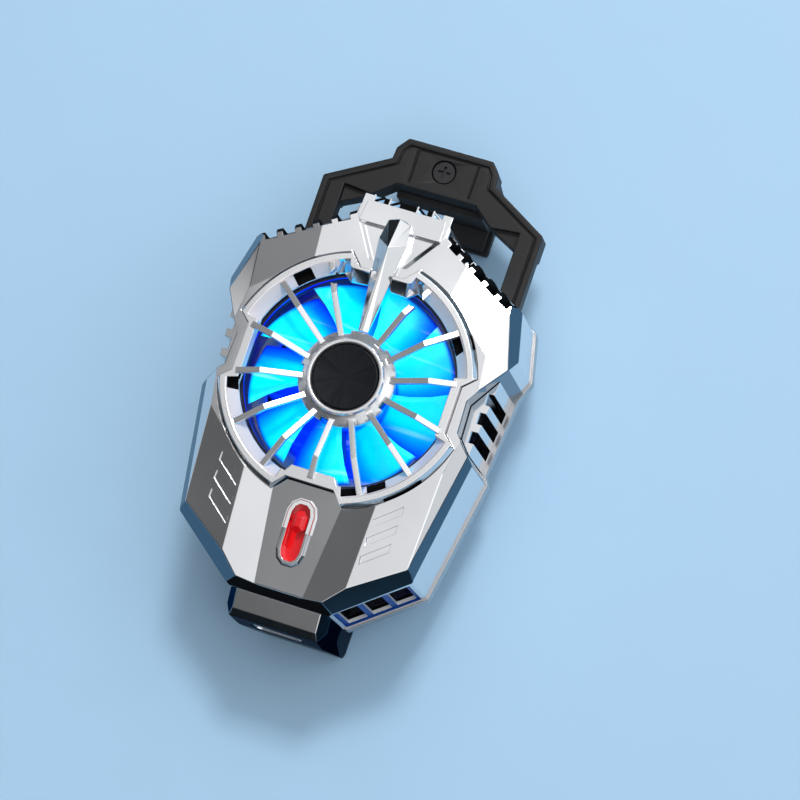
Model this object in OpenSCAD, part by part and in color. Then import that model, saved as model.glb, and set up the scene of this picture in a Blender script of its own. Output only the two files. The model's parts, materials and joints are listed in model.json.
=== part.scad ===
// Clamp-on phone cooling fan: a faceted silver shell over a fan, a finned heat sink and a cold pad,
// with a fixed jaw at one end, a sprung sliding clamp at the other and a slide switch on its face.
// Millimetres. The fan axis is Z, with z = 0 on the cold pad's face and +Z out of the fan.
// +Y points to the sliding clamp, and the part is the same on both sides of X = 0.

/* [Clamp space] */
// Width held between the jaws at rest
held_w = 71.5; // [66:0.5:82]
// Thickness held in the jaws
held_t = 7.65; // [6.5:0.05:10]
// Fan axis to the fixed jaw's gripping face
jaw_y = 34.15; // [33.5:0.05:36]
// Soft lining of the jaws
lining_t = 1.2; // [0.8:0.1:1.6]
// Reach of the jaw lips over the far face of what they hold
lip_reach = 4; // [2:0.5:6]
// Thickness of the jaw lips
lip_t = 1.7; // [1.4:0.1:2.4]

/* [Shell outline] */
// Blade tips to the end wall at the fixed jaw
end_reach = 20.8; // [20.4:0.1:22]
// Half length of that end wall
end_half = 9; // [8.6:0.1:10]
// Blade tips to the lower corner, across
low_out = 3.5; // [2.6:0.1:4.6]
// Blade tips to the lower corner, along
low_reach = 11.5; // [10.6:0.1:12.6]
// Blade tips to the corner below the side vents, across
mid_out = 6.9; // [6.6:0.1:7.6]
// Corner below the side vents, along from the axis
mid_y = 7.4; // [7:0.1:8]
// Blade tips to the widest corner above the side vents, across
wide_out = 8.6; // [8.2:0.1:9.6]
// Widest corner above the side vents, along from the axis
wide_y = 11.6; // [11:0.1:13]
// Blade tips to the upper corner, across
top_out = 6.6; // [6.2:0.1:7.2]
// Blade tips to the upper corner, along
top_reach = 2.4; // [1.6:0.1:3.1]
// Half length of the crest's end wall
crest_half = 8.4; // [8:0.1:9]
// Blade tips to the crest's end wall
crest_reach = 12.8; // [12.4:0.1:13.6]
// Wall of the shell
wall_t = 1.5; // [1.2:0.1:1.8]

/* [Fan] */
// Radius of the blade tips
tip_r = 17.4; // [16.6:0.1:17.6]
// Number of fan blades
blade_count = 9; // [7:1:11]
// Height of the rotor
rotor_h = 5.8; // [5:0.1:7]
// Radius of the rotor's hub
rotor_r = 7.6; // [7.2:0.1:8]
// Gap between the rotor and what stands still
run_gap = 0.6; // [0.5:0.05:0.9]
// Radius of the motor shaft
shaft_r = 1; // [0.8:0.05:1.2]
// Number of places on the guard, one of them taken by the pointer
spoke_places = 14; // [12:1:16]
// Width of a guard spoke
spoke_w = 1; // [0.8:0.1:1.4]
// Height of the guard's ring
ring_h = 2.6; // [2.2:0.1:3]

/* [Cooling stack] */
// Thickness of the soft cold pad
pad_t = 0.6; // [0.5:0.05:0.8]
// Side of the square cold pad
pad_side = 27; // [22:0.5:27.5]
// Thickness of the thermoelectric module
module_t = 3; // [2.8:0.1:4]
// Side of the thermoelectric module
module_side = 25; // [20:0.5:26]
// Height of the heat sink's fins
fin_h = 4.7; // [3.5:0.1:6]
// Thickness of one fin
fin_t = 0.6; // [0.5:0.05:0.9]

/* [Clamp frame] */
// Width of a clamp rail
rail_w = 4.1; // [3.6:0.1:4.3]
// Thickness of a clamp rail
rail_t = 3; // [2.4:0.1:3.2]
// Blade tips in to the rails' inner sides
rail_in = 1.2; // [1:0.1:1.4]
// Length of a rail behind the clamp's gripping face
rail_len = 45.4; // [42:0.2:48]
// Wire of the clamp springs
wire_d = 0.5; // [0.4:0.05:0.6]
// Outer diameter of the clamp springs
spring_d = 2.9; // [2.4:0.1:3]

/* [Switch] */
// Blade tips to the middle of the switch
switch_reach = 9.55; // [9.1:0.05:10.1]
// Length of the switch bezel
bezel_l = 11.6; // [11.2:0.1:12.4]
// Width of the switch bezel
bezel_w = 5.2; // [5:0.1:5.6]
// Travel of the switch knob
switch_travel = 4.2; // [3.4:0.1:4.4]

/* [Hidden] */
$fn = 64;
eps = 0.02;
big = 160;
// Clearances: fixed pieces side by side, sliding pieces, and the shaft in its sleeve
seat_gap = 0.1;
slide_gap = 0.3;
shaft_gap = 0.05;

// Levels from the cold face upwards
rear_proud = 0.5;
floor_t = 1.1;
floor_z = rear_proud + floor_t;
strip_z = floor_z + 1.4;
strip_proud = 0.35;
flange_t = 1;
module_z = floor_z + flange_t;
sink_z = module_z + module_t;
sink_base_t = 1.5;
fin_z = sink_z + sink_base_t;
frame_z = fin_z + fin_h;
frame_base_t = 1.2;
motor_z = frame_z + frame_base_t;
rotor_z = motor_z + 1;
rotor_top = rotor_z + rotor_h;
guard_z = rotor_top + run_gap;
ring_top = guard_z + ring_h;
seat_t = 2.4;
cover_z = guard_z - seat_t;
ledge_z = cover_z - 0.3;
brow_z = guard_z + 1.4;
rail_z = floor_z + slide_gap;
rail_top = rail_z + rail_t;
lip_top = -(held_t + slide_gap + lining_t);
lip_bottom = lip_top - lip_t;

// Radii round the fan axis
guide_r = tip_r + run_gap;
duct_r = guide_r + 0.45;
duct_out = duct_r + 0.75;
lip_r = guide_r + 2.4;
open_r = guide_r + 0.5;
ring_r = guide_r + 4;
skirt_r = rotor_r + 0.7;
bezel_r = skirt_r - 1.85;
cap_r = bezel_r - 0.75;

// Corners of the shell from the fan axis
end_y = tip_r + end_reach;
low_x = tip_r + low_out;
low_y = tip_r + low_reach;
mid_x = tip_r + mid_out;
wide_x = tip_r + wide_out;
top_x = tip_r + top_out;
top_y = tip_r + top_reach;
crest_y = tip_r + crest_reach;
switch_y = tip_r + switch_reach;
rail_x = tip_r - rail_in;

// Plan helpers: half outlines run up the +X side, and corners move in by d
function both(half) =
    concat(half, [for (i = [len(half) - 1:-1:0]) if (half[i][0] > 0) [-half[i][0], half[i][1]]]);
function along(a, b) = (b - a) / norm(b - a);
function left_of(u) = [-u[1], u[0]];
function moved_in(p, q, r, d) =
    let (m = left_of(along(p, q)), n = left_of(along(q, r))) q + d * (m + n) / (1 + m * n);
function inset(pts, d) = let (n = len(pts))
    [for (i = [0:n - 1]) moved_in(pts[(i + n - 1) % n], pts[i], pts[(i + 1) % n], d)];
function on_line(a, b, x) = [x, a[1] + (b[1] - a[1]) * (x - a[0]) / (b[0] - a[0])];
function at(p, z) = [p[0], p[1], z];
function flip(p) = [-p[0], p[1], p[2]];

// Corners of the shell in plan, +X side
end_corner = [end_half, -end_y];
low_corner = [low_x, -low_y];
mid_corner = [mid_x, -mid_y];
wide_corner = [wide_x, wide_y];
top_corner = [top_x, top_y];
crest_corner = [crest_half, crest_y - 1.2];
crest_end = [crest_half - 0.6, crest_y];
notch_low = [mid_x - 3.4, -mid_y + 3.9];
notch_high = [notch_low[0] - 0.25, notch_low[1] + 5.8];
notch_top = [wide_x - 0.8, wide_y - 2];
vent_low = on_line(mid_corner, notch_low, mid_x - 1.25);
vent_high = on_line(notch_high, notch_top, mid_x - 0.1);
shell_half = [end_corner, low_corner, mid_corner, notch_low, notch_high, notch_top, wide_corner,
    top_corner, crest_corner, crest_end];
base_half = [end_corner, low_corner, mid_corner, vent_low + [0.4, 0], vent_high + [0.4, 0], wide_corner,
    top_corner, crest_corner, crest_end];
shell_outline = both(shell_half);
base_outline = both(base_half);
vent_outline = inset([vent_low, vent_high, notch_high, notch_low], seat_gap);

// Upper edge of the shell, inside the bevels, with its heights
edge_end = [end_half - 1, -end_y + 1.45, cover_z + 0.95];
edge_low = [low_x - 1.05, -low_y + 1.65, cover_z + 1.9];
edge_mid = [mid_x - 0.9, -mid_y + 1.14, cover_z + 2.1];
edge_wide = [wide_x - 1.05, wide_y - 1.85, cover_z + 1.7];
edge_top = [top_x - 1.54, top_y - 1.55, cover_z + 2.5];
edge_notch_low = [notch_low[0], notch_low[1] - 6, brow_z];
edge_notch_high = [notch_high[0] + 1.1, notch_high[1] + 3.4, brow_z];
bevel_end_z = cover_z - 2;
crown_in = 0.9 * left_of(along(top_corner, crest_corner));

// Ridges beside the switch panel and beside the crest, and the panel's own slope
ridge_x = 11.7;
ridge_low = [ridge_x, -ring_r + 2.8, brow_z];
ridge_foot = ridge_low - [0, 14.4, 1.75];
ridge_high = [ridge_x + 0.46, ring_r - 3.9, brow_z];
panel_drop = 0.127;
panel_y = -ring_r + 0.15;
panel_z = brow_z - 1.2;
panel_tilt = atan(panel_drop);
panel_corner = [6.05, panel_y, panel_z];
panel_foot = [4.33, panel_y - 15, panel_z - 15 * panel_drop];
crest_drop = 0.16;
crest_tilt = atan(crest_drop);
ridge_out = [ridge_high[0] + 0.66, ridge_high[1] + 5, brow_z - 5 * crest_drop];

// The pointer blade over the fan, from the hub to the crest
pointer_z = guard_z + 0.8;
pointer_hub = [0.85, skirt_r + seat_gap];
pointer_wide = [2.5, ring_r + 2.4];
pointer_end = [2, ring_r + 5.9];
pointer_tip = [0.9, ring_r + 6.4];
pointer_outline = both([pointer_hub, pointer_wide, pointer_end, pointer_tip]);
pointer_peak = [0, ring_r + 0.9, pointer_z + 3.2];

// Guard: straight bars at both sides, a bracket at the foot and stepped ends at the pointer
bar_x = notch_high[0] - 1.7;
bar_half = 4.2;
bar_w = 1.4;
bar_ring = [ring_r - 1, 6.1];
foot_ring = [6.3, -ring_r + 1];
foot_half = 4.3;
foot_y = -ring_r + 3.3;
step_ring = [6.2, ring_r - 0.9];
step_in = [3.9, ring_r - 3.3];
guard_edge = both([[foot_half, foot_y], foot_ring]);

// Slide switch in the panel's own tilted frame
panel_at_switch = panel_z + (-switch_y - panel_y) * panel_drop;
bezel_rim = 0.95;
slot_w = bezel_w - 2 * bezel_rim;
slot_l = bezel_l - 2 * bezel_rim;
neck_w = bezel_w - 1;
neck_l = bezel_l - 1;
slot_end = [[0.17, 0], [0.39, 0.17], [0.5, 0.5]] * slot_w;
slot_outline = both(concat([for (p = slot_end) p - [0, slot_l / 2]],
    [for (i = [2:-1:0]) [slot_end[i][0], slot_l / 2 - slot_end[i][1]]]));
collar_y = bezel_l * 0.02;
rim_t = 0.5;
tray_top = -1.2;
tray_t = 0.8;
knob_w = slot_w - 2 * slide_gap;
knob_l = slot_l - switch_travel - 1.7;
knob_y = switch_travel / 2 - 0.2;
stem_w = 0.7;
stem_x = -slot_w / 2 + 0.75;

// Clamp: everything follows its gripping face
grip_y = held_w - jaw_y;
hook_y = grip_y + lining_t;
rail_end = grip_y - rail_len;
rail_out = rail_x + rail_w;
frame_bottom = rear_proud;
head_y = grip_y - 5;
// How far the clamp slides in from rest
clamp_in = 7;
shoulder = [rail_out, grip_y - 1];
step_low = [9.6, grip_y + 5.15];
step_mid = [9.4, grip_y + 7.3];
head_top = [7.8, grip_y + 9.35];
window_side = [rail_x, grip_y - 1.45];
window_mid = [10.9, grip_y - 1.95];
window_top = [7.2, grip_y + 1.05];
frame_outline = both([[rail_out, rail_end], shoulder, step_low, step_mid, head_top]);
frame_window = both([[rail_x, rail_end - 1], window_side, window_mid, window_top]);
screw_y = grip_y + 5.2;
hook_half = 8.8;

// Springs between the rail ends and two posts
spring_x = rail_x + 1.4;
spring_z = rail_z + rail_t / 2;
post_y = -24.6;
post_r = 1.1;
spring_from = post_y + post_r + slide_gap;
spring_to = rail_end - slide_gap;
spring_turns = 14;

// Charging inlet, board and screws
inlet_z = sink_z + 4.4;
inlet_w = 9.1;
inlet_h = 3.3;
board_t = 1;
board_z = inlet_z + inlet_h / 2;
jaw_out = end_y + 4.8;
screw_r = 0.9;
head_r = 1.9;
boss_r = 1.7;
screw_spots = [[7, -end_y + 3], [11, crest_y - 5.7]];
frame_screw_r = 11.5;

// Straight prism of an outline between two levels
module slab(pts, z0, z1) {
    translate([0, 0, z0]) linear_extrude(z1 - z0) polygon(pts);
}

// Round bar on the fan axis, hollow where an inner radius is given
module drum(r, z0, z1, hole = 0) {
    translate([0, 0, z0]) difference() {
        cylinder(r = r, h = z1 - z0);
        if (hole > 0) translate([0, 0, -1]) cylinder(r = hole, h = z1 - z0 + 2);
    }
}

// Everything above the plane through three points
module above(a, b, c) {
    n = cross(b - a, c - a);
    up = n[2] < 0 ? -n : n;
    translate(a) rotate([0, acos(up[2] / norm(up)), atan2(up[1], up[0])])
        translate([-big / 2, -big / 2, 0]) cube(big);
}

module both_sides() {
    children();
    mirror([1, 0, 0]) children();
}

// Side profile in Y and Z, extruded across X
module across(width) {
    rotate([90, 0, 90]) linear_extrude(width, center = true) children();
}

// Oblong along Y
module oblong(w, l) {
    square([w, l - w], center = true);
    for (s = [-1, 1]) translate([0, s * (l - w) / 2]) circle(d = w);
}

// The switch panel's frame: z = 0 on the panel, +Y up its slope
module on_panel() {
    translate([0, -switch_y, panel_at_switch]) rotate([panel_tilt, 0, 0]) children();
}

module panel_oblong(w, l, z0, z1) {
    on_panel() translate([0, 0, z0]) linear_extrude(z1 - z0) oblong(w, l);
}

// Boxes set along a wall from a to b, each from t0 outwards, w long and d deep
module wall_cuts(a, b, spots, w, z0, z1, d_in, d_out) {
    u = along(a, b);
    for (t = spots) translate(at(a, z0)) rotate([0, 0, atan2(u[1], u[0])])
        translate([t - w / 2, -d_out, 0]) cube([w, d_in + d_out, z1 - z0]);
}

/* Outer shell */

// Facets of the face: ridges fall to the outside, a trough runs down the switch panel
module face_cuts() {
    both_sides() {
        above(ridge_low, ridge_foot, edge_low);
        above(edge_low, edge_mid, edge_notch_low);
        above(ridge_high, ridge_out, edge_top);
        above(edge_top, edge_wide, edge_notch_high);
        above(edge_end, edge_low, at(low_corner, cover_z - 0.4));
        above(edge_low, edge_mid, at(low_corner, cover_z - 0.1));
        above(edge_top, edge_wide, at(wide_corner, cover_z - 0.2));
        intersection() {
            above(at(top_corner + crown_in, brow_z - 1.4), at(crest_corner + crown_in, brow_z - 1.65),
                at(top_corner, brow_z - 2.9));
            translate([crest_half - 0.1, 0, 0]) cube(big);
        }
    }
    above(edge_end, flip(edge_end), [0, -end_y, bevel_end_z]);
    above(ridge_high, flip(ridge_high), ridge_out);
    intersection() {
        above(panel_corner, flip(panel_corner), panel_foot);
        above(panel_corner, panel_foot, ridge_low);
        mirror([1, 0, 0]) above(panel_corner, panel_foot, ridge_low);
    }
}

vent_pitch = 3.2;
vent_slot = 2;
lower_pitch = 4.4;
lower_window = 3.4;

module shell_vents() {
    top_len = norm(crest_corner - top_corner);
    low_len = norm(low_corner - end_corner);
    wall_cuts(top_corner, crest_corner, [for (i = [-2:2]) top_len / 2 + i * vent_pitch], vent_slot,
        cover_z - 2.5, brow_z + 1, 1.8, 1);
    windows = [for (i = [-1:1]) low_len / 2 + i * lower_pitch];
    wall_cuts(end_corner, low_corner, windows, lower_window, strip_z + 1.2, cover_z - 1.8, 1, 1);
    wall_cuts(end_corner, low_corner, windows, lower_window - 0.4, strip_z + 1.4, cover_z - 2, 3, 1);
    wall_cuts(end_corner, low_corner, [low_len / 2], 3 * lower_pitch + 0.4, strip_z + 0.7, cover_z - 1.4,
        0.4, 1);
}

// Three sunk bars beside the switch panel
slash_depth = 0.3;
module slashes() {
    intersection() {
        for (i = [0:2]) slab([for (p = [[12, -21.2], [12.1, -22.5], [16.3, -19.1], [16.2, -17.7]])
            p - [0.1 * i, 3.2 * i]], cover_z, brow_z + 1);
        translate([0, 0, -slash_depth]) above(ridge_low, ridge_foot, edge_low);
    }
}

module shell_inside() {
    slab(inset(shell_outline, wall_t), strip_z - 1, cover_z);
    both_sides() translate([notch_high[0] - wall_t - 1, vent_outline[3][1] + 0.4, strip_z + 1])
        cube([4, notch_high[1] - notch_low[1] - 0.8, ledge_z - strip_z - 2.5]);
    both_sides() translate([rail_x, notch_low[1] - wall_t, strip_z - 1])
        cube([notch_low[0] + 0.2 - rail_x, notch_high[1] - notch_low[1] + 2 * wall_t,
            rail_top + slide_gap - strip_z + 1]);
    drum(duct_out + seat_gap, cover_z - 1, guard_z + eps);
}

module guard_seat() {
    translate([0, 0, guard_z]) linear_extrude(ring_h) guard_plan(seat_gap);
}

module rail_ports() {
    start_y = rail_end - clamp_in - 1;
    both_sides() translate([rail_x - slide_gap, start_y, floor_z])
        cube([rail_w + 2 * slide_gap, crest_y - start_y, rail_top + slide_gap - floor_z]);
}

module inlet_cut(gap) {
    translate([0, -end_y + 3, inlet_z]) rotate([90, 0, 0]) linear_extrude(10)
        rotate(90) oblong(inlet_h + 2 * gap, inlet_w + 2 * gap);
}

module screw_bosses() {
    both_sides() for (p = screw_spots) translate(at(p, floor_z)) difference() {
        cylinder(r = boss_r, h = cover_z - floor_z + eps);
        translate([0, 0, -1]) cylinder(r = screw_r + shaft_gap, h = 12);
    }
}

module top_shell() {
    color("silver") union() {
        difference() {
            slab(shell_outline, strip_z, brow_z);
            face_cuts();
            shell_inside();
            guard_seat();
            both_sides() shell_vents();
            both_sides() slashes();
            rail_ports();
            inlet_cut(2 * seat_gap);
            both_sides() translate([crest_half - 1.2, crest_y - 2.4, cover_z]) cube([3, 2.2, 0.9]);
            panel_oblong(neck_w + 2 * seat_gap, neck_l + 2 * seat_gap, -6, 3);
            slab(inset(pointer_outline, -seat_gap), pointer_z, brow_z + 1);
            both_sides() crest_pocket();
        }
        screw_bosses();
    }
}

// Grille in the side notch, with slots through its ledge and wall
side_slots = [4.15, 0.72, -2.71];
module side_vent() {
    difference() {
        slab(vent_outline, strip_z, ledge_z);
        for (y = side_slots) translate([notch_low[0] + 1.4 + 0.1 * y, y - vent_slot / 2, strip_z + 0.6])
            cube([5, vent_slot, ledge_z]);
        for (y = side_slots) translate([notch_low[0] - 2, y - vent_slot / 2, strip_z + 0.6])
            cube([8, vent_slot, ledge_z - strip_z - 1.8]);
    }
}

module side_vent_right() {
    color("gainsboro") side_vent();
}

module side_vent_left() {
    color("gainsboro") mirror([1, 0, 0]) side_vent();
}

// Sunk panel on the crest's slope beside the pointer, with a sloped outer wall
pocket_depth = 0.28;
pocket_low = [3.35, ring_r - 1.2];
pocket_high = [7.3, ring_r + 5];
module crest_pocket() {
    wall = at(pocket_low + [-0.63, 0.4], -pocket_depth);
    on_crest() translate([0, -ridge_high[1], 0]) intersection() {
        slab([pocket_low, pocket_high, pointer_end - [0, 0.9], pointer_wide, [2.1, ring_r - 1.2]], -2, 3);
        translate([-big / 2, -big / 2, -pocket_depth]) cube(big);
        above(at(pocket_low, 0), at(pocket_high, 0), wall);
    }
}

// Raised plate at the top of the crest's slope, with a bed for the pointer and teeth on its end
plate_t = 0.6;
plate_low = [7.15, ring_r + 4.9];
plate_side = [7.3, ring_r + 5.05];
plate_end = [7, crest_y + 0.6];
truss_y = crest_y + 1.7;
truss_blocks = [[-0.2, 1.5], [3.45, 4.35], [6.25, 7.9]];
truss_fins = [-6.25, -3.45, 1.5, 4.35];
fin_w = 0.25;
module on_crest() {
    translate([0, ridge_high[1], brow_z]) rotate([-crest_tilt, 0, 0]) children();
}

module crest_plate() {
    color("gainsboro") difference() {
        on_crest() translate([0, -ridge_high[1], 0]) {
            linear_extrude(plate_t) polygon(both([plate_low, plate_side, plate_end]));
            linear_extrude(2 * plate_t)
                polygon(both([[2.35, ring_r + 1], pointer_wide, pointer_end - [0, 0.9]]));
            both_sides() linear_extrude(plate_t - 0.2) {
                for (b = truss_blocks) translate([b[0], plate_end[1] - 1])
                    square([b[1] - b[0], truss_y - plate_end[1] + 1]);
                for (x = [1.5, 4.35]) translate([x, plate_end[1] - 0.2]) rotate(-atan2(1.3, 1.95))
                    translate([-0.8, 1]) square([3.4, 0.35]);
                polygon([plate_side, [7.9, ring_r + 6.2], [7.9, truss_y - 0.4],
                    [plate_end[0] - 1, plate_end[1]]]);
            }
            translate([-6.5, plate_end[1] - 1, 0]) cube([13, truss_y - plate_end[1] + 1, 0.15]);
            for (x = truss_fins) translate([x, plate_end[1] - 1, 0])
                cube([fin_w, truss_y - plate_end[1] + 1.15, plate_t - 0.1]);
        }
        slab(inset(pointer_outline, -seat_gap), pointer_z, pointer_z + 6);
    }
}

// Pointer: a ridged blade with a faceted head. Points run up the +X side, the ridge and the -X side
module pointer_blade() {
    rises = [0.6, 1.3, 1, 0.9];
    side = [pointer_hub, pointer_wide, pointer_end, pointer_tip];
    ridge = [[0, pointer_hub[1], pointer_z + 1.1], pointer_peak, [0, pointer_tip[1], pointer_z + 1.6]];
    right = [for (i = [0:3]) at(side[i], pointer_z + rises[i])];
    foot = [for (p = side) at(p, pointer_z)];
    points = concat(right, ridge, [for (p = right) flip(p)], foot, [for (p = foot) flip(p)]);
    half = [[4, 5, 0], [0, 5, 1], [1, 5, 2], [2, 5, 6], [2, 6, 3], [0, 1, 11], [1, 12, 11], [1, 2, 12],
        [2, 13, 12], [2, 3, 13], [3, 14, 13]];
    other = [7, 8, 9, 10, 4, 5, 6, 0, 0, 0, 0, 15, 16, 17, 18];
    ends = [[4, 0, 11], [4, 11, 15], [4, 15, 7], [3, 6, 14], [6, 18, 14], [6, 10, 18],
        [11, 12, 15], [15, 12, 16], [12, 13, 16], [16, 13, 17], [13, 14, 17], [17, 14, 18]];
    mirrored = [for (f = half) [other[f[0]], other[f[2]], other[f[1]]]];
    color("gainsboro") polyhedron(points, concat(half, mirrored, ends));
}

/* Fan guard */

// Plan of the whole guard ring, grown by gap
module guard_plan(gap) {
    difference() {
        circle(r = ring_r + gap, $fn = 96);
        for (s = [-1, 1]) polygon([for (p = [[bar_x, bar_half], bar_ring, bar_ring + [6, 2],
            bar_ring + [6, -14.2], [bar_ring[0], -bar_ring[1]], [bar_x, -bar_half]])
                [s * (p[0] + gap), p[1]]]);
        polygon(both([foot_ring + [3, -6], foot_ring, [foot_half - gap, foot_y - gap]]));
        polygon(both([step_in + [0, gap], step_ring + [0, gap], step_ring + [3, 6]]));
    }
}

// Round opening with straight sides, a flat foot and two stepped corners at the pointer
module guard_opening() {
    difference() {
        circle(r = open_r, $fn = 96);
        for (s = [-1, 1]) translate([s * (bar_x - bar_w + 5), 0]) square([10, 2 * big], center = true);
        polygon(both([[foot_half + 0.6, foot_y + 0.4], [foot_half - 0.5, foot_y + 2.1],
            [foot_half - 0.6, foot_y + 2.1]]));
        translate([-foot_half + 0.5, foot_y - 3]) square([2 * foot_half - 1, 5.1]);
        polygon(both([[7, open_r], [6.5, open_r - 1.3], [4.9, open_r - 2.4], [2, open_r - 2.2],
            [1.2, open_r]]));
    }
}

module spoke(reach) {
    rise = 2;
    kink_r = tip_r - 3.1;
    depth = 1.1;
    hub_z = guard_z + 2.1;
    end_z = hub_z + rise - 1.5 * (reach - kink_r) / 5.1;
    rotate([90, 0, 0]) linear_extrude(spoke_w, center = true) polygon([
        [skirt_r - 1, hub_z - depth], [kink_r, hub_z + rise - depth], [reach, end_z - depth],
        [reach, end_z], [kink_r, hub_z + rise], [skirt_r - 1, hub_z]]);
}

// How far a spoke runs before it is inside the ring, a side bar or the foot bracket
function spoke_reach(a) =
    abs(sin(a)) < 0.28 ? (bar_x - bar_w / 2) / abs(cos(a)) :
    sin(a) < -0.96 ? -foot_y - 0.8 : lip_r + 0.2;

module guard_hub() {
    hub_z = guard_z + 0.5;
    rotate_extrude() polygon([[0, hub_z], [skirt_r, hub_z], [skirt_r, hub_z + 1],
        [bezel_r + 0.1, hub_z + 2.1], [bezel_r, hub_z + 2.7], [cap_r + 0.3, hub_z + 2.7],
        [cap_r + seat_gap, hub_z + 2.5], [cap_r + seat_gap, hub_z + 1.8], [0, hub_z + 1.8]]);
}

lip_slope = 0.6;
ring_slots = [[-54, -36], [29.5, 36]];
ring_notches = [131, 197, 291, 304, 34];
hub_notches = [60, 110, 185, 262, 342];
module fan_guard() {
    color("gainsboro") difference() {
        union() {
            difference() {
                translate([0, 0, guard_z]) linear_extrude(ring_h) difference() {
                    guard_plan(0);
                    guard_opening();
                }
                intersection() {
                    translate([0, 0, guard_z + 0.5])
                        cylinder(r1 = open_r, r2 = lip_r, h = ring_h - 0.5 + eps, $fn = 96);
                    guard_arcs();
                }
                intersection() {
                    rotate_extrude($fn = 96) polygon([[ring_r - lip_slope, ring_top + eps],
                        [ring_r + 1, ring_top + eps], [ring_r + 1, ring_top - 1], [ring_r, ring_top - 1]]);
                    guard_arcs();
                }
                for (a = ring_slots, s = [-1, 1]) rotate([0, 0, s < 0 ? 180 - a[1] : a[0]])
                    translate([0, 0, guard_z + 0.5]) rotate_extrude(angle = a[1] - a[0], $fn = 96)
                        translate([ring_r - 0.9, 0]) square([2, ring_h - 1.1]);
                for (a = ring_notches) rotate(a) translate([open_r - 1, -1.6, guard_z + 0.6])
                    cube([lip_r - open_r + 0.7, 3.2, ring_h - 0.85]);
            }
            for (i = [1:spoke_places - 1]) let (a = 90 + i * 360 / spoke_places)
                rotate(a) spoke(spoke_reach(a));
            guard_hub();
        }
        slab(inset(pointer_outline, -seat_gap), pointer_z, pointer_z + 6);
        both_sides() gem_facets();
        for (a = hub_notches) rotate(a) translate([skirt_r - 0.7, -0.9, guard_z]) cube([2, 1.8, 2]);
    }
}

// Sloped faces of the stepped ends beside the pointer
module gem_facets() {
    low = guard_z + 0.8;
    high = ring_top - 0.3;
    inner = [2, open_r - 2.2, low];
    middle = [4.9, open_r - 2.4, low];
    outer = [6.5, open_r - 1.3, low];
    intersection() {
        above(inner, middle, [3.6, open_r - 0.65, high]);
        translate([1, open_r - 4, guard_z]) cube([3.9, 3.6, 5]);
    }
    intersection() {
        above(middle, outer, [4.6, open_r - 0.65, high]);
        slab([[4.9, open_r - 4], [9, open_r - 4], [7, open_r + 0.5], [4.7, open_r - 0.5]],
            guard_z, ring_top + 1);
    }
}

// Sectors where the guard is a round ring, between the bars, the foot and the pointer
module guard_arcs() {
    arc = atan2(bar_ring[1], bar_ring[0]);
    span = atan2(-foot_ring[1], foot_ring[0]);
    for (s = [-1, 1], t = [-1, 1]) slab([[0, 0], [s * big * cos(arc), t * big * sin(arc)],
        [s * big, t * big], [s * big * cos(span), t * big * sin(span)]], guard_z, ring_top + 1);
}

// Spun disc on the hub
module hub_cap() {
    z0 = guard_z + 2.3;
    color("#202024") rotate_extrude() polygon([[0, z0], [cap_r, z0], [cap_r, z0 + 0.5],
        [cap_r - 0.3, z0 + 0.75], [0, z0 + 0.45]]);
}

/* Cooling stack */

module thermal_pad() {
    color("#9aa0a6") translate([-pad_side / 2, -pad_side / 2, 0]) cube([pad_side, pad_side, pad_t]);
}

plate_side_l = 29;
module cold_plate() {
    flange = rail_x - 0.9;
    color("lightgray") union() {
        translate([-plate_side_l / 2, -plate_side_l / 2, pad_t])
            cube([plate_side_l, plate_side_l, floor_z - pad_t + eps]);
        translate([-flange, -flange - 1, floor_z]) cube([2 * flange, 2 * flange + 2, flange_t]);
    }
}

module peltier_module() {
    plate = 0.7;
    color("white") union() {
        for (z = [0, module_t - plate]) translate([-module_side / 2, -module_side / 2, module_z + z])
            cube([module_side, module_side, plate]);
        translate([-module_side / 2 + 1, -module_side / 2 + 1, module_z + plate - eps])
            cube([module_side - 2, module_side - 2, module_t - 2 * plate + 2 * eps]);
    }
}

sink_half_x = 15;
sink_half_y = 18.4;
fin_pitch = 2.3;
module heat_sink() {
    color("lightsteelblue") difference() {
        union() {
            translate([-sink_half_x, -sink_half_y, sink_z])
                cube([2 * sink_half_x, 2 * sink_half_y, sink_base_t]);
            for (i = [-8:8]) translate([-sink_half_x, i * fin_pitch - fin_t / 2, fin_z - eps])
                cube([2 * sink_half_x, fin_t, fin_h + eps]);
            for (i = [0:2]) rotate(30 + 120 * i) translate([frame_screw_r, 0, fin_z - eps])
                cylinder(r = 1.7, h = fin_h + eps);
        }
        for (i = [0:2]) rotate(30 + 120 * i) translate([frame_screw_r, 0, fin_z])
            cylinder(r = 0.8, h = fin_h + 1);
    }
}

/* Fan motor */

sleeve_r = shaft_r + 1.2;
module fan_frame() {
    color("#303236") difference() {
        union() {
            drum(duct_out, frame_z, guard_z - 0.2, duct_r);
            drum(rotor_r + 1, frame_z, motor_z);
            drum(sleeve_r + 0.8, frame_z, rotor_top - 2.4);
            for (i = [0:2]) rotate(30 + 120 * i) translate([0, -2.2, frame_z])
                cube([duct_r + 0.3, 4.4, frame_base_t]);
        }
        drum(sleeve_r + eps, frame_z + 0.6, rotor_top);
        for (i = [0:2]) rotate(30 + 120 * i) translate([frame_screw_r, 0, frame_z - 1])
            cylinder(r = 0.8, h = 4);
    }
}

module bearing_sleeve() {
    color("darkgoldenrod") drum(sleeve_r, frame_z + 0.6, rotor_top - 2.4, shaft_r + shaft_gap);
}

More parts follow.
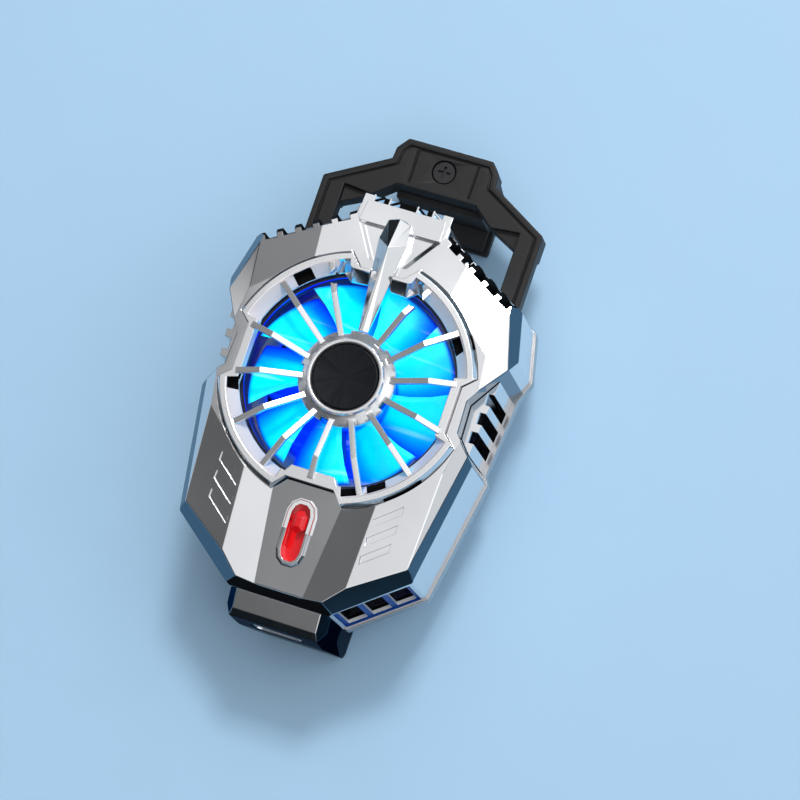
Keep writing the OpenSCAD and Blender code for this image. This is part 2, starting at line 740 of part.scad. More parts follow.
pole_count = 4;
stator_r = rotor_r - 1.9;
stator_z = motor_z + 0.9;
module stator_core() {
    color("slategray") difference() {
        union() {
            drum(sleeve_r + 1.6, motor_z, motor_z + 3.4);
            for (i = [0:pole_count - 1]) rotate(i * 360 / pole_count) intersection() {
                union() {
                    translate([0, -0.7, stator_z]) cube([stator_r, 1.4, 1.8]);
                    translate([stator_r - 0.7, -2.6, stator_z]) cube([2, 5.2, 1.8]);
                }
                drum(stator_r, motor_z, motor_z + 5);
            }
        }
        drum(sleeve_r + 0.8 + eps, motor_z - 1, motor_z + 6);
    }
}

module stator_coils() {
    color("#b87333") for (i = [0:pole_count - 1]) rotate(i * 360 / pole_count) difference() {
        translate([sleeve_r + 1.7, -1.35, stator_z - 0.6]) cube([stator_r - sleeve_r - 2.6, 2.7, 3]);
        translate([sleeve_r, -0.7 - eps, stator_z - eps]) cube([stator_r, 1.4 + 2 * eps, 1.8 + 2 * eps]);
    }
}

module led_board() {
    color("#1c5a3a") drum(duct_r - seat_gap, motor_z, motor_z + 0.5, duct_r - 3.2);
}

module light_guide() {
    color("deepskyblue", 0.6) drum(duct_r - eps, motor_z + 0.5, guard_z - 0.5, guide_r);
}

module frame_screws() {
    color("dimgray") for (i = [0:2]) rotate(30 + 120 * i) translate([frame_screw_r, 0, motor_z]) {
        translate([0, 0, -4.5]) cylinder(r = 0.75, h = 4.6);
        cylinder(r = 1.3, h = 0.6);
    }
}

blade_t = 0.9;
blade_turn = 36;
module blade() {
    steps = 3;
    r0 = rotor_r - 0.3;
    sweep = function (t) [r0 + (tip_r - r0) * t, 0];
    lean = function (p, t) [p[0] * cos(12 * t), p[0] * sin(12 * t)];
    edge = [for (i = [0:steps]) lean(sweep(i / steps), i / steps)];
    front = [for (p = edge) p + [0, -blade_t / 2]];
    behind = [for (i = [steps:-1:0]) edge[i] + [0, blade_t / 2]];
    translate([0, 0, rotor_z + 0.2]) linear_extrude(rotor_h - 0.4, twist = -blade_turn, slices = 5)
        polygon(concat(front, behind));
}

module fan_impeller() {
    cup_t = 0.8;
    color("cyan", 0.7) union() {
        drum(rotor_r, rotor_z - 0.4, rotor_top, rotor_r - cup_t);
        drum(rotor_r, rotor_top - 0.9, rotor_top, shaft_r);
        drum(shaft_r + 1, rotor_top - 1.8, rotor_top - 0.9 + eps, shaft_r);
        for (i = [0:blade_count - 1]) rotate(i * 360 / blade_count) blade();
    }
}

module magnet_ring() {
    color("#4a4a50") drum(rotor_r - 0.8, rotor_z - 0.2, rotor_top - 1.4, rotor_r - 1.5);
}

module rotor_shaft() {
    color("lightgray") drum(shaft_r, frame_z + 0.9, rotor_top);
}

/* Electrics */

module control_board() {
    tongue = inlet_w / 2 + 0.1;
    color("#14502f") slab(both([[tongue, -end_y + 2], [tongue, -end_y + 5.4], [8.5, -end_y + 5.4],
        [8.5, -duct_out - 1.6]]), board_z, board_z + board_t);
}

module usb_socket() {
    shell_t = 0.3;
    length = 9;
    color("lightgray") translate([0, -jaw_out + length + 0.3, inlet_z]) rotate([90, 0, 0]) difference() {
        linear_extrude(length) rotate(90) oblong(inlet_h, inlet_w);
        difference() {
            translate([0, 0, 0.8]) linear_extrude(length) rotate(90)
                oblong(inlet_h - 2 * shell_t, inlet_w - 2 * shell_t);
            linear_extrude(length - 0.8) square([6.7, 0.7], center = true);
        }
    }
}

module switch_body() {
    top = panel_at_switch + tray_top - tray_t - slide_gap - 1;
    color("#27282c") difference() {
        translate([-2.4, -switch_y - 4.5, board_z + board_t]) cube([4.8, 9, top - board_z - board_t]);
        translate([stem_x - stem_w / 2 - slide_gap, -switch_y - 3.5, top - 2])
            cube([stem_w + 2 * slide_gap, 7, 3]);
    }
}

// Prism of an outline whose sides lean in by d as they rise by h
module leaning_slab(pts, h, d) {
    upper = inset(pts, d);
    n = len(pts);
    difference() {
        slab(pts, 0, h);
        for (i = [0:n - 1]) above(at(pts[i], 0), at(pts[(i + 1) % n], 0), at(upper[i], h));
    }
}

// Bezel round the switch: leaning sides below, and above the waist a rim, a groove and a thin collar
module switch_bezel() {
    rim_h = 0.55;
    collar = [[-bezel_w, collar_y], [bezel_w, collar_y], [bezel_w, bezel_l], [-bezel_w, bezel_l]];
    color("whitesmoke") difference() {
        union() {
            on_panel() difference() {
                leaning_slab(inset(slot_outline, -bezel_rim), rim_h, bezel_rim - rim_t);
                slab(collar, -1, 2);
            }
            on_panel() intersection() {
                slab(collar, -1, 2);
                union() {
                    slab(inset(slot_outline, -rim_t - 0.1), 0, rim_h + 0.1);
                    slab(inset(slot_outline, -bezel_rim), 0, 0.15);
                    difference() {
                        slab(inset(slot_outline, -bezel_rim), 0, rim_h);
                        slab(inset(slot_outline, -bezel_rim + 0.22), -1, 2);
                    }
                }
            }
            panel_oblong(neck_w, neck_l, tray_top, 0.1);
        }
        on_panel() slab(slot_outline, tray_top - 1, 2);
    }
}

module switch_tray() {
    color("red") difference() {
        panel_oblong(neck_w, neck_l, tray_top - tray_t, tray_top);
        on_panel() translate([stem_x, 0, tray_top - 3]) linear_extrude(5)
            oblong(stem_w + 2 * slide_gap, stem_w + switch_travel + 0.8);
    }
}

module switch_knob() {
    top = 0.8;
    foot = tray_top + slide_gap;
    corner = 1;
    half_w = knob_w / 2;
    half_l = knob_l / 2;
    outline = both([[half_w - corner, -half_l], [half_w, -half_l + corner], [half_w, half_l - corner],
        [half_w - corner, half_l]]);
    color("red") on_panel() translate([0, knob_y, 0]) difference() {
        union() {
            slab(outline, foot, top);
            translate([stem_x - stem_w / 2, -stem_w / 2, foot - 3]) cube([stem_w, stem_w, 3.1]);
        }
        for (s = [-1, 1]) {
            above([s * half_w, 0, top - 0.7], [s * half_w, 1, top - 0.7], [s * (half_w - 0.9), 0, top]);
            above([0, s * half_l, top - 0.7], [1, s * half_l, top - 0.7], [0, s * (half_l - 1.1), top]);
        }
    }
}

/* Rear plate and jaws */

module rear_plate() {
    guide_t = 0.5;
    guide_l = 2 * sink_half_y - 2.8;
    color("#2b2d31") difference() {
        union() {
            difference() {
                slab(inset(base_outline, -strip_proud), rear_proud, strip_z);
                slab(inset(base_outline, wall_t + 0.6), floor_z, strip_z + 1);
                translate([-end_half - 1, -end_y - 5, 0]) cube([2 * end_half + 2, 5, 5]);
                rail_ports();
            }
            both_sides() {
                translate([rail_x - slide_gap - guide_t, -guide_l / 2, floor_z - eps])
                    cube([guide_t, guide_l, rail_t]);
                translate([rail_out + slide_gap, -guide_l / 2, floor_z - eps])
                    cube([guide_t, guide_l, strip_z - floor_z - seat_gap]);
                translate([spring_x, post_y, floor_z - eps]) cylinder(r = post_r, h = rail_t + slide_gap);
                translate([6.6, -27.5, floor_z - eps]) cylinder(r = 1.6, h = board_z - floor_z + eps);
            }
        }
        translate([-plate_side_l / 2 - seat_gap, -plate_side_l / 2 - seat_gap, 0])
            cube([plate_side_l + 2 * seat_gap, plate_side_l + 2 * seat_gap, 4]);
        both_sides() for (p = screw_spots) translate(at(p, 0)) {
            cylinder(r = screw_r + 0.2, h = 4);
            cylinder(r = head_r + seat_gap, h = rear_proud + 0.6);
        }
        both_sides() for (p = screw_spots) translate(at(p, floor_z)) cylinder(r = boss_r + seat_gap, h = 3);
    }
}

module case_screws() {
    color("dimgray") both_sides() for (p = screw_spots) translate(at(p, rear_proud)) {
        cylinder(r = head_r, h = 0.6);
        cylinder(r = screw_r, h = 10);
    }
}

jaw_top = [-end_y, cover_z - 2];
jaw_taper = 1.4;
module jaw_profile() {
    polygon([jaw_top, [jaw_top[0] - 3.2, jaw_top[1] - 1.15], [-jaw_out + 0.3, jaw_top[1] - 2.1],
        [-jaw_out, jaw_top[1] - 9.3], [-jaw_out + 1.1, lip_bottom + 1.9], [-jaw_out + 2, lip_bottom],
        [-jaw_y + lip_reach - 0.6, lip_bottom], [-jaw_y + lip_reach, lip_bottom + 0.6],
        [-jaw_y + lip_reach, lip_top], [-jaw_y - lining_t, lip_top], [-jaw_y - lining_t, rear_proud],
        [-end_y, rear_proud]]);
}

module lower_jaw() {
    half = end_half;
    slope = [half - 1.4, -end_y, jaw_top[1] - 0.1];
    color("silver") difference() {
        intersection() {
            across(2 * half) jaw_profile();
            rotate([90, 0, 0]) linear_extrude(big, center = true)
                polygon(both([[half - jaw_taper, lip_bottom], [half, 4.5], [half, jaw_top[1] + 1]]));
        }
        both_sides() {
            above(slope, slope + [-0.1, -3.2, -1.1], slope + [1.4, 0, -1.5]);
            above([half, -jaw_out + 2.2, 0], [half, -jaw_out + 2.2, 1], [half - 1.5, -jaw_out - 0.4, 0]);
        }
        inlet_cut(2 * seat_gap);
    }
}

// Soft L-shaped lining of a jaw's face and lip, with the face toward +Y
module lining(half) {
    rounded = 0.4;
    across(2 * half) polygon([[-jaw_y, -0.4], [-jaw_y - lining_t, -0.4], [-jaw_y - lining_t, lip_top],
        [-jaw_y + lip_reach - rounded, lip_top], [-jaw_y + lip_reach - rounded, lip_top + lining_t - rounded],
        [-jaw_y + lip_reach - 2 * rounded, lip_top + lining_t], [-jaw_y, lip_top + lining_t]]);
}

module lower_jaw_pad() {
    color("#1d1d20") lining(end_half - jaw_taper - 0.2);
}

/* Sliding clamp */

groove_in = 1.1;
groove_w = 0.35;
groove_depth = 0.35;
module clamp_frame() {
    color("#1b1b1d") difference() {
        union() {
            difference() {
                slab(frame_outline, rail_z, rail_top);
                slab(frame_window, rail_z - 1, rail_top + 1);
            }
            intersection() {
                difference() {
                    slab(frame_outline, frame_bottom, rail_top);
                    slab(frame_window, frame_bottom - 1, rail_top + 1);
                }
                translate([-big / 2, head_y, 0]) cube(big);
            }
            both_sides() slab([[rail_x + eps, grip_y - 4.6], window_side + [eps, eps], window_mid + [0, eps]],
                frame_bottom, rail_top - 1.1);
        }
        difference() {
            slab(inset(frame_outline, groove_in), rail_top - groove_depth, rail_top + 1);
            slab(inset(frame_outline, groove_in + groove_w), 0, rail_top + 2);
            translate([-big / 2, -big + grip_y - 16, 0]) cube(big);
        }
        both_sides() translate([5.3, grip_y + 1.9, rail_top - groove_depth]) cube([0.4, 6.2, 1]);
        translate([0, screw_y, 0]) cylinder(r = screw_r + 0.3, h = 10);
        translate([0, screw_y, rail_top - 1.2]) cylinder(r = head_r + 0.2, h = 2);
    }
}

module clamp_hook() {
    foot = 1.6;
    color("#1b1b1d") difference() {
        across(2 * hook_half) polygon([[hook_y, frame_bottom], [hook_y + 6.6, frame_bottom],
            [hook_y + 5.6, lip_bottom + foot], [hook_y + 4.6, lip_bottom],
            [grip_y - lip_reach + 0.6, lip_bottom], [grip_y - lip_reach, lip_bottom + 0.6],
            [grip_y - lip_reach, lip_top], [hook_y, lip_top]]);
        translate([0, screw_y, -6]) cylinder(r = screw_r + shaft_gap, h = 8);
    }
}

module clamp_pad() {
    color("#2a2a2d") translate([0, grip_y - jaw_y, 0]) mirror([0, 1, 0]) lining(hook_half - 0.8);
}

module clamp_screw() {
    head_h = 0.8;
    color("#151517") translate([0, screw_y, rail_top - 1.2]) difference() {
        union() {
            translate([0, 0, -7]) cylinder(r = screw_r, h = 7.1);
            cylinder(r = head_r, h = head_h);
        }
        for (a = [0, 90]) rotate(a) translate([-1.1, -0.25, head_h - 0.5]) cube([2.2, 0.5, 1]);
    }
}

// Coil spring along Y, one unbroken tube
function ring_at(p, u, v, r, sides) =
    [for (k = [0:sides - 1]) p + r * (cos(360 * k / sides) * u + sin(360 * k / sides) * v)];
module clamp_spring(side) {
    rings = 8;
    sides = 6;
    n = rings * spring_turns;
    r = (spring_d - wire_d) / 2;
    pitch = (spring_to - spring_from) / spring_turns;
    rise = atan2(pitch, 360 * r * PI / 180);
    points = [for (i = [0:n]) let (a = 360 * i / rings, out = [cos(a), 0, sin(a)])
        each ring_at([side * spring_x, spring_from + pitch * i / rings, spring_z] + r * out, out,
            [sin(a) * sin(rise), cos(rise), -cos(a) * sin(rise)], wire_d / 2, sides)];
    quads = [for (i = [0:n - 1], k = [0:sides - 1]) let (m = (k + 1) % sides)
        [i * sides + k, i * sides + m, (i + 1) * sides + m, (i + 1) * sides + k]];
    faces = concat([for (q = quads) each [[q[0], q[1], q[2]], [q[0], q[2], q[3]]]],
        [[for (k = [sides - 1:-1:0]) k]], [[for (k = [0:sides - 1]) n * sides + k]]);
    color("silver") polyhedron(points, faces);
}

module clamp_spring_left() {
    clamp_spring(-1);
}

module clamp_spring_right() {
    clamp_spring(1);
}

rear_plate();
top_shell();
side_vent_left();
side_vent_right();
crest_plate();
pointer_blade();
fan_guard();
hub_cap();
thermal_pad();
cold_plate();
peltier_module();
heat_sink();
fan_frame();
stator_core();
stator_coils();
bearing_sleeve();
led_board();
light_guide();
frame_screws();
control_board();
usb_socket();
switch_body();
switch_bezel();
switch_tray();
lower_jaw();
lower_jaw_pad();
case_screws();
clamp_spring_left();
clamp_spring_right();
fan_impeller();
magnet_ring();
rotor_shaft();
clamp_frame();
clamp_hook();
clamp_pad();
clamp_screw();
switch_knob();
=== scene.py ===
"""Dresses a packed clamp-on cooling fan: rounded edges, finishes, studio and camera."""
import json
import math

import bpy
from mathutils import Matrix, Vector


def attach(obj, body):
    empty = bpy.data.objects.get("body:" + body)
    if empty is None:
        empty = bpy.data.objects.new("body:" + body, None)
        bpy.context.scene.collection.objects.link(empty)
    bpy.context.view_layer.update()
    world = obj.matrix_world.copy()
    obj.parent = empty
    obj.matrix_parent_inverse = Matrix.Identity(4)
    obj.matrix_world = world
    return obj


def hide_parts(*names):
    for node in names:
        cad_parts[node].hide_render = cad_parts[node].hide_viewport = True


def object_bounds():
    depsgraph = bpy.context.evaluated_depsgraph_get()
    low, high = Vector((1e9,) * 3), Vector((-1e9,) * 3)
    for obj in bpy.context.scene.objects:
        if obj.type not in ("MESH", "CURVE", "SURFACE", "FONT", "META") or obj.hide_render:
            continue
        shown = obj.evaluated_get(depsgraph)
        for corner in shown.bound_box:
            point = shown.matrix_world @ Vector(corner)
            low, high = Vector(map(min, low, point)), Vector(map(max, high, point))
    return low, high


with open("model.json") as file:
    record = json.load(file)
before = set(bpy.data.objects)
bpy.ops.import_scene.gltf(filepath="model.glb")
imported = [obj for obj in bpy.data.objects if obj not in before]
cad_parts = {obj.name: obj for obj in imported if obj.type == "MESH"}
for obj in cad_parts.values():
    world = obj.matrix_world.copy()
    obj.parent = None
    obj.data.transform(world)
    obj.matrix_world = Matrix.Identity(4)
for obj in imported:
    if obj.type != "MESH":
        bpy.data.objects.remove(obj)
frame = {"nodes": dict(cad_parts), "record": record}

bl_info = {
    "name": "Cooling Fan Dressing",
    "version": (1, 0, 0),
    "blender": (4, 5, 0),
    "location": "View3D > Sidebar > Cooler",
    "description": "Rounds, finishes and lights a clamp-on cooling fan",
    "category": "Object",
}

MM = 0.001
CAD_LOW, CAD_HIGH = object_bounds()
NODES = frame["nodes"]
BODY_OF = {node: body for body, nodes in frame["record"]["behaviour"]["bodies"].items() for node in nodes}


def colour(name, default, description):
    """A colour property with its alpha left out."""
    return bpy.props.FloatVectorProperty(
        name=name, description=description, default=default, subtype="COLOR", size=3, min=0, max=1)


def length(name, default, description):
    """A length property in metres, given in millimetres."""
    return bpy.props.FloatProperty(
        name=name, description=description, default=default * MM, unit="LENGTH", min=0, precision=5)


class CoolerFinish(bpy.types.PropertyGroup):
    """Colours of the finishes."""
    silver: colour("Silver", (0.80, 0.81, 0.83), "Plated shell, vents, crest, jaw and rear plate")
    trim: colour("Trim", (0.88, 0.885, 0.90), "Plated guard, pointer and rim of the switch")
    black: colour("Black", (0.010, 0.010, 0.011), "Clamp frame and its hook")
    spun: colour("Spun disc", (0.020, 0.021, 0.024), "Disc on the hub")
    silicone: colour("Silicone", (0.025, 0.025, 0.027), "Jaw linings")
    # The lit and deep blue colours are the painted glow of the blades, deep blue also for their painted
    # shade
    lit: colour("Lit blades", (0.0, 0.88, 1.0), "Middle of the lit blades")
    deep: colour("Deep blue", (0.0, 0.03, 0.80), "Rim and roots of the lit blades")
    red: colour("Red", (0.90, 0.008, 0.016), "Switch knob and slot")
    # A painted dark reflection on the plated sloped band, the walls of the side notches and the guard's
    # foot
    dark_reflection: colour("Dark reflection", (0.10, 0.17, 0.23), "Dark plating of the sloped band and the guard's foot")
    # A painted dark reflection on the plated walls of the jaw
    jaw_dark_reflection: colour("Jaw dark reflection", (0.025, 0.05, 0.08), "Darkest plating, on the jaw's walls")
    pearl: colour("Pearl", (0.90, 0.83, 0.82), "Inner wall of the guard's ring")
    # A painted blue reflection on the plated posts of the lower windows
    post: colour("Post", (0.006, 0.075, 0.34), "Sunk frame of the lower windows")
    floor: colour("Floor", (0.46, 0.72, 0.97), "Studio floor")


class CoolerSizes(bpy.types.PropertyGroup):
    """Sizes that the dressing adds to the solids."""
    shell_edge: length("Shell edge", 0.16, "Rounding of the shell's edges")
    trim_edge: length("Trim edge", 0.10, "Rounding of the guard, jaw, linings and rear plate")
    frame_edge: length("Frame edge", 0.20, "Rounding of the clamp frame and its hook")
    small_edge: length("Small edge", 0.06, "Rounding of the vents, crest, pointer, hub and switch")


class CoolerStudio(bpy.types.PropertyGroup):
    """Camera and lights."""
    camera_place: bpy.props.FloatVectorProperty(
        name="Camera place", description="Where the camera stands", subtype="TRANSLATION", unit="LENGTH",
        default=(0.13801, -0.09235, 0.56221))
    camera_turn: bpy.props.FloatVectorProperty(
        name="Camera turn", description="How the camera is turned", subtype="EULER",
        default=[math.radians(a) for a in (13.1646, 9.6098, 18.9672)])
    lens: bpy.props.FloatProperty(
        name="Lens", description="Focal length on a 36 mm sensor", unit="CAMERA", default=152.89)
    key_power: bpy.props.FloatProperty(
        name="Key power", description="Power of the key softbox in watts", default=3.0, min=0)
    sky: bpy.props.FloatProperty(
        name="Sky", description="Strength of the studio sky", default=1.05, min=0)


def finish():
    return bpy.context.scene.cooler_finish


def sizes():
    return bpy.context.scene.cooler_sizes


def studio():
    return bpy.context.scene.cooler_studio


# Materials

CLOUD_SCALE = 60.0
GRAIN_SCALE = 2500.0
GRAIN_DEPTH = 0.02 * MM
GRAIN_STRENGTH = 0.2
GLOSS_DRIFT = 0.06
LATHE_PITCH = 0.12 * MM
LATHE_DEPTH = 0.004 * MM


def fill_ramp(node, stops):
    """Gives a colour ramp its (place, colour) stops."""
    elements = node.color_ramp.elements
    while len(elements) < len(stops):
        elements.new(0.5)
    for element, (place, rgb) in zip(elements, stops):
        element.position = place
        element.color = (*rgb, 1)


def surface_group():
    """Slow clouds and fine grain over a surface, for colour, roughness and bump."""
    name = "surface_variation"
    if name in bpy.data.node_groups:
        return bpy.data.node_groups[name]
    group = bpy.data.node_groups.new(name, "ShaderNodeTree")
    layers = (("Cloud", CLOUD_SCALE, 3.0), ("Grain", GRAIN_SCALE, 2.0))
    for layer, scale, detail in layers:
        socket = group.interface.new_socket(layer + " Scale", in_out="INPUT", socket_type="NodeSocketFloat")
        socket.default_value = scale
        group.interface.new_socket(layer, in_out="OUTPUT", socket_type="NodeSocketFloat")
    start = group.nodes.new("NodeGroupInput")
    end = group.nodes.new("NodeGroupOutput")
    place = group.nodes.new("ShaderNodeTexCoord")
    for layer, scale, detail in layers:
        noise = group.nodes.new("ShaderNodeTexNoise")
        noise.inputs["Detail"].default_value = detail
        group.links.new(place.outputs["Object"], noise.inputs["Vector"])
        group.links.new(start.outputs[layer + " Scale"], noise.inputs["Scale"])
        group.links.new(noise.outputs["Fac"], end.inputs[layer])
    return group


class Finish:
    """One Principled material with helpers to wire it."""

    def __init__(self, name, metallic=0.0, **sockets):
        self.material = bpy.data.materials.new(name)
        self.material.use_nodes = True
        self.nodes = self.material.node_tree.nodes
        self.links = self.material.node_tree.links
        self.shader = self.nodes["Principled BSDF"]
        self.shader.inputs["Metallic"].default_value = metallic
        for socket, value in sockets.items():
            self.shader.inputs[socket.replace("_", " ")].default_value = value

    def add(self, kind, **values):
        node = self.nodes.new(kind)
        for key, value in values.items():
            setattr(node, key, value)
        return node

    def ramp(self, source, stops):
        """A colour ramp from (place, colour) stops."""
        ramp = self.add("ShaderNodeValToRGB")
        fill_ramp(ramp, stops)
        self.links.new(source, ramp.inputs["Fac"])
        return ramp.outputs["Color"]

    def spread(self, source, low, high, start=0.3, stop=0.7):
        """A value from low to high as the source goes from start to stop."""
        node = self.add("ShaderNodeMapRange")
        for socket, value in (("From Min", start), ("From Max", stop), ("To Min", low), ("To Max", high)):
            node.inputs[socket].default_value = value
        self.links.new(source, node.inputs["Value"])
        return node.outputs["Result"]

    def bump(self, source, distance, strength):
        node = self.add("ShaderNodeBump")
        node.inputs["Strength"].default_value = strength
        node.inputs["Distance"].default_value = distance
        self.links.new(source, node.inputs["Height"])
        self.links.new(node.outputs["Normal"], self.shader.inputs["Normal"])

    def feed(self, source, socket):
        self.links.new(source, self.shader.inputs[socket])

    def weather(self, low, high, cloud=CLOUD_SCALE, grain=GRAIN_SCALE, depth=GRAIN_DEPTH,
                strength=GRAIN_STRENGTH):
        """Roughness that drifts from low to high, and a fine grain. Gives back the slow clouds."""
        group = self.add("ShaderNodeGroup", node_tree=surface_group())
        group.inputs["Cloud Scale"].default_value = cloud
        group.inputs["Grain Scale"].default_value = grain
        clouds = group.outputs["Cloud"]
        self.feed(self.spread(clouds, low, high), "Roughness")
        self.bump(group.outputs["Grain"], depth, strength)
        return clouds

    def mix(self, kind, first, second):
        """Two colours mixed in full by a blend kind."""
        node = self.add("ShaderNodeMix", data_type="RGBA", blend_type=kind)
        node.inputs["Factor"].default_value = 1.0
        self.links.new(first, node.inputs["A"])
        self.links.new(second, node.inputs["B"])
        return node.outputs["Result"]

    def streaks(self, scale, turn, start, stop):
        """Faint long painted streaks of light."""
        place = self.add("ShaderNodeTexCoord")
        lie = self.add("ShaderNodeMapping")
        lie.inputs["Rotation"].default_value = (0, 0, turn)
        lie.inputs["Scale"].default_value = scale
        self.links.new(place.outputs["Object"], lie.inputs["Vector"])
        noise = self.add("ShaderNodeTexNoise")
        noise.inputs["Scale"].default_value = 1.0
        self.links.new(lie.outputs["Vector"], noise.inputs["Vector"])
        return self.ramp(noise.outputs["Fac"], ((start, (0, 0, 0)), (stop, (0.25, 0.20, 0.0))))


def scaled(rgb, factor):
    return tuple(min(1.0, c * factor) for c in rgb)


def cloudy(name, rgb, rough, shift=0.08, depth=GRAIN_DEPTH, strength=GRAIN_STRENGTH, **sockets):
    """A finish with slow changes of tone and gloss and a fine grain."""
    made = Finish(name, **sockets)
    drift = GLOSS_DRIFT / 2
    clouds = made.weather(rough - drift, rough + drift, depth=depth, strength=strength)
    tones = ((0.3, scaled(rgb, 1 - shift)), (0.7, scaled(rgb, 1 + shift)))
    made.feed(made.ramp(clouds, tones), "Base Color")
    return made.material


def from_axis(made):
    """The way from the fan axis to a place, in plan."""
    place = made.add("ShaderNodeTexCoord")
    flat = made.add("ShaderNodeVectorMath", operation="MULTIPLY")
    flat.inputs[1].default_value = (1, 1, 0)
    made.links.new(place.outputs["Object"], flat.inputs[0])
    return flat.outputs["Vector"]


def length_of(made, vector):
    far = made.add("ShaderNodeVectorMath", operation="LENGTH")
    made.links.new(vector, far.inputs[0])
    return far.outputs["Value"]


def reach_from_axis(made, start, stop):
    """Distance from the fan axis, from 0 at start to 1 at stop."""
    return made.spread(length_of(made, from_axis(made)), 0, 1, start * MM, stop * MM)


def height(made, start, stop):
    """Height above the cold face, from 0 at start to 1 at stop."""
    place = made.add("ShaderNodeTexCoord")
    split = made.add("ShaderNodeSeparateXYZ")
    made.links.new(place.outputs["Object"], split.inputs["Vector"])
    return made.spread(split.outputs["Z"], 0, 1, start * MM, stop * MM)


def spun_disc_and_sheen():
    """Dark metal turned on a lathe: fine rings as a bump, with soft painted streaks of reflection that run
    out from the middle.
    """
    made = Finish("spun_disc_and_sheen", metallic=1.0)
    flat = from_axis(made)
    turn = made.add("ShaderNodeVectorMath", operation="NORMALIZE")
    made.links.new(flat, turn.inputs[0])
    streaks = made.add("ShaderNodeTexNoise")
    streaks.inputs["Scale"].default_value = 2.6
    made.links.new(turn.outputs["Vector"], streaks.inputs["Vector"])
    # Painted streaks of reflection in the base colour
    spun = finish().spun
    tones = ((0.34, scaled(spun, 0.8)), (0.42, spun), (0.58, scaled(spun, 1.1)), (0.66, scaled(spun, 0.88)))
    made.feed(made.ramp(streaks.outputs["Fac"], tones), "Base Color")
    made.feed(made.spread(streaks.outputs["Fac"], 0.30, 0.42), "Roughness")
    pitch = made.add("ShaderNodeMath", operation="MULTIPLY")
    pitch.inputs[1].default_value = 2 * math.pi / LATHE_PITCH
    made.links.new(length_of(made, flat), pitch.inputs[0])
    rings = made.add("ShaderNodeMath", operation="SINE")
    made.links.new(pitch.outputs["Value"], rings.inputs[0])
    made.bump(rings.outputs["Value"], LATHE_DEPTH, 0.25)
    return made.material


# Painted glow of the blades, from deep blue low down to cyan higher up
BLADE_GLOW = ((0.0, (0, 0.02, 0.85)), (0.25, (0, 0.12, 0.9)), (0.5, (0, 0.42, 0.95)), (1.0, (0, 0.62, 1.0)))


def lit_blades():
    """Clear blades with a painted glow: base colour and emission go from deep blue low down to cyan higher
    up, with painted shade at the roots and tips and painted glare streaks.
    """
    made = Finish("lit_blades", Emission_Strength=0.75)
    reach = reach_from_axis(made, 7.5, 17.5)
    rise = height(made, 14.2, 19.6)
    lit, deep = finish().lit, finish().deep
    body = made.ramp(rise, ((0.0, deep), (0.30, scaled(lit, 0.55)), (0.55, lit), (1.0, lit)))
    whole, shade = (1, 1, 1), (0.0, 0.05, 0.6)
    # Painted shade at the roots and tips
    ends = made.ramp(reach, ((0.0, shade), (0.07, whole), (0.92, whole), (1.0, shade)))
    glow = made.ramp(rise, BLADE_GLOW)
    # Painted glare streaks, added to base colour and glow
    streaks = made.streaks((30.0, 420.0, 60.0), 0.7, 0.60, 0.74)
    for source, socket in ((body, "Base Color"), (glow, "Emission Color")):
        ended = made.mix("MULTIPLY", source, ends)
        made.feed(made.mix("ADD", ended, streaks), socket)
    made.weather(0.15, 0.4, cloud=300.0, grain=900.0)
    return made.material


# Painted glow lines of the duct and the fan frame by height, SHEEN being a painted sheen line
DARK = (0.001, 0.001, 0.006)
NAVY = (0.003, 0.004, 0.09)
LINE = (0.0, 0.01, 1.0)
SHEEN = (0.02, 0.02, 0.025)
DUCT_LINES = ((0.0, NAVY), (0.45, NAVY), (0.54, DARK), (0.64, DARK), (0.68, SHEEN), (0.72, DARK),
              (0.86, DARK), (0.88, LINE), (0.965, LINE), (0.985, DARK))
FRAME_LINES = ((0.0, (0.0, 0.03, 0.7)), (0.35, (0.0, 0.02, 0.4)), (0.55, DARK), (1.0, DARK))


def lit_by_height(name, start, stop, stops):
    """Dark part with a painted glow that changes with height, on a base colour from navy low down to dark
    higher up.
    """
    made = Finish(name, Emission_Strength=1.0)
    rise = height(made, start, stop)
    made.feed(made.ramp(rise, stops), "Emission Color")
    made.feed(made.ramp(rise, ((0.0, NAVY), (1.0, DARK))), "Base Color")
    made.weather(0.25, 0.4)
    return made.material


def lit_sink():
    """Metal under the fan: a painted blue glow of the fan's light inside the duct, in base colour and
    emission, and plain outside it.
    """
    made = Finish("lit_sink", metallic=0.4, Emission_Strength=0.8)
    reach = reach_from_axis(made, 10, 18)
    tones = ((0.0, (0.0, 0.03, 0.7)), (0.6, (0.02, 0.05, 0.5)), (0.9, (0.30, 0.32, 0.34)))
    light = ((0.0, (0.0, 0.03, 0.9)), (0.55, (0.0, 0.03, 0.9)), (0.75, (0.0, 0.0, 0.0)))
    made.feed(made.ramp(reach, tones), "Base Color")
    made.feed(made.ramp(reach, light), "Emission Color")
    made.weather(0.35, 0.5)
    return made.material


